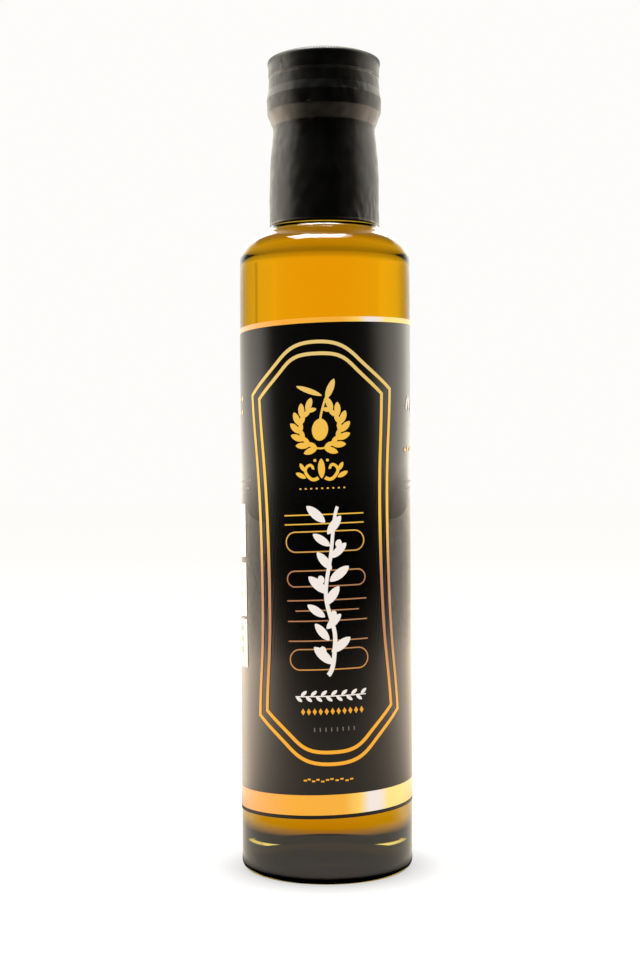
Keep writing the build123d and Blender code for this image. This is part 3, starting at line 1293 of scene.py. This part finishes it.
def studio_world():
    """White backdrop behind, softer light at both sides and a dark room in front."""
    world = bpy.data.worlds.new("studio")
    world.use_nodes = True
    world.cycles.sampling_method = "NONE"
    tree = world.node_tree
    tree.nodes.clear()
    tinted = {"data_type": "RGBA", "blend_type": "MULTIPLY", "in_0": 1.0}
    ray = node(tree, "LightPath")
    through = ray.outputs["Is Transmission Ray"]
    parts = node(tree, "SeparateXYZ", {0: node(tree, "TexCoord").outputs["Generated"]})
    high = parts.outputs["Z"]
    angle = node(tree, "Math", {0: parts.outputs["X"], 1: parts.outputs["Y"]}, operation="ARCTAN2")
    turn = node(tree, "MapRange", {0: angle}, in_1=-math.pi, in_2=math.pi)
    walls = []
    for stops, green, blue in (SEEN_IN_GLOSS, SEEN_THROUGH, SEEN_IN_MIRROR):
        wall = node(tree, "ValToRGB", {0: turn})
        ramp_stops(wall, [
            ((degrees + 180) / 360, (level, level * green, level * blue, 1)) for degrees, level in stops
        ])
        walls.append(wall)

    # in the soft gloss of the films: brighter above, and where it meets the card
    rise = node(tree, "MapRange", {0: high}, in_1=0.18, in_2=0.45, in_3=1.0, in_4=1.7)
    glow = node(tree, "MapRange", {0: high}, in_1=-0.01, in_2=0.06, in_3=2.1, in_4=1.0)
    level = node(tree, "Math", {0: rise, 1: glow}, operation="MULTIPLY")
    soft = node(tree, "Mix", {6: walls[0], 7: level}, **tinted)

    # mirrored in the glass: a bright strip above the card, a dark wall over it and a white ceiling
    dim = node(tree, "MapRange", {0: high}, in_1=0.50, in_2=0.57, in_3=1.0, in_4=0.05)
    swell = node(tree, "MapRange", {0: high}, in_1=0.12, in_2=0.30, in_3=1.0, in_4=3.2)
    ceiling = node(tree, "MapRange", {0: high}, in_1=0.93, in_2=0.97, in_4=8.0)
    level = node(tree, "Math", {0: dim, 1: swell}, operation="MULTIPLY")
    wall = node(tree, "Mix", {6: walls[2], 7: level}, **tinted)
    sharp = node(tree, "Mix", {6: wall.outputs[2], 7: ceiling}, data_type="RGBA", blend_type="ADD", in_0=1.0)
    gloss = node(tree, "Mix", {
        0: ray.outputs["Is Singular Ray"], 6: soft.outputs[2], 7: sharp.outputs[2],
    }, data_type="RGBA")

    # through the glass: darker above
    fall = node(tree, "MapRange", {0: high}, in_1=0.16, in_2=0.36, in_3=1.0, in_4=0.7)
    level = node(tree, "Math", {0: fall, 1: straight_light(tree, ray, 1.0)}, operation="MULTIPLY")
    low = node(tree, "Mix", {6: walls[1], 7: level}, **tinted)
    bent = node(tree, "Mix", {0: through, 6: gloss.outputs[2], 7: low.outputs[2]}, data_type="RGBA")

    # and plain white where nothing is in the way
    open_light = node(tree, "Math", {
        0: ray.outputs["Is Camera Ray"], 1: ray.outputs["Is Diffuse Ray"],
    }, operation="MAXIMUM")
    white = linear("#fdfcfa")
    backdrop = node(tree, "Mix", {0: open_light, 6: bent.outputs[2]}, data_type="RGBA", in_7=white)
    light = node(tree, "Background", {0: backdrop.outputs[2]})
    tree.links.new(light.outputs[0], node(tree, "OutputWorld").inputs[0])
    return world


# how bright the studio is at each angle from straight behind, positive to the right,
# then its green and blue as shares of its red
SEEN_IN_GLOSS = ((
    (-180, 0.0), (-112, 0.0), (-95, 1.7), (-60, 1.9), (-38, 2.0), (27, 2.0), (40, 1.6), (85, 1.2), (110, 0.0),
), 0.95, 0.84)
SEEN_IN_MIRROR = ((
    (-180, 0.0), (-62, 0.02), (-48, 0.12), (-38, 0.6), (-28, 1.0), (28, 1.0), (38, 0.5), (48, 0.1), (62, 0.0),
), 0.97, 0.92)
SEEN_THROUGH = ((
    (-180, 0.05), (-110, 0.05), (-80, 0.6), (-50, 0.8), (-42, 1.0), (-27, 1.08), (-24, 1.0),
    (22, 1.0), (23.5, 1.08), (25, 1.0), (37, 0.95), (38.5, 0.45), (40, 0.9), (59, 0.8), (61, 0.35),
    (63, 0.75), (85, 0.5), (110, 0.05),
), 0.97, 0.94)


# ---------------------------------------------------------------- panel and run

STEPS = (
    OIL_BOTTLE_OT_glass,
    OIL_BOTTLE_OT_oil,
    OIL_BOTTLE_OT_cap,
    OIL_BOTTLE_OT_capsule,
    OIL_BOTTLE_OT_label,
    OIL_BOTTLE_OT_bands,
    OIL_BOTTLE_OT_frame,
    OIL_BOTTLE_OT_emblem,
    OIL_BOTTLE_OT_branch,
    OIL_BOTTLE_OT_rules,
    OIL_BOTTLE_OT_side_print,
    OIL_BOTTLE_OT_stage,
)


class OIL_BOTTLE_PT_pieces(bpy.types.Panel):
    """Lists the bottle's pieces in the order that they are made"""

    bl_idname = "OIL_BOTTLE_PT_pieces"
    bl_label = "Oil Bottle"
    bl_space_type = "VIEW_3D"
    bl_region_type = "UI"
    bl_category = "Oil Bottle"

    def draw(self, context):
        for step in STEPS:
            self.layout.operator(step.bl_idname)
        for group in (context.scene.bottle_sizes, context.scene.label_sizes, context.scene.bottle_finishes):
            box = self.layout.box()
            for key in group.bl_rna.properties.keys():
                if key not in ("rna_type", "name"):
                    box.prop(group, key)


GROUPS = {"bottle_sizes": BottleSizes, "label_sizes": LabelSizes, "bottle_finishes": Finishes}


def register():
    for key, group in GROUPS.items():
        bpy.utils.register_class(group)
        setattr(bpy.types.Scene, key, bpy.props.PointerProperty(type=group))
    for step in (*STEPS, OIL_BOTTLE_PT_pieces):
        bpy.utils.register_class(step)


def unregister():
    for step in reversed((*STEPS, OIL_BOTTLE_PT_pieces)):
        bpy.utils.unregister_class(step)
    for key, group in GROUPS.items():
        delattr(bpy.types.Scene, key)
        bpy.utils.unregister_class(group)


def main():
    register()
    for step in STEPS:
        group, action = step.bl_idname.split(".")
        getattr(getattr(bpy.ops, group), action)()


if __name__ == "__main__":
    main()
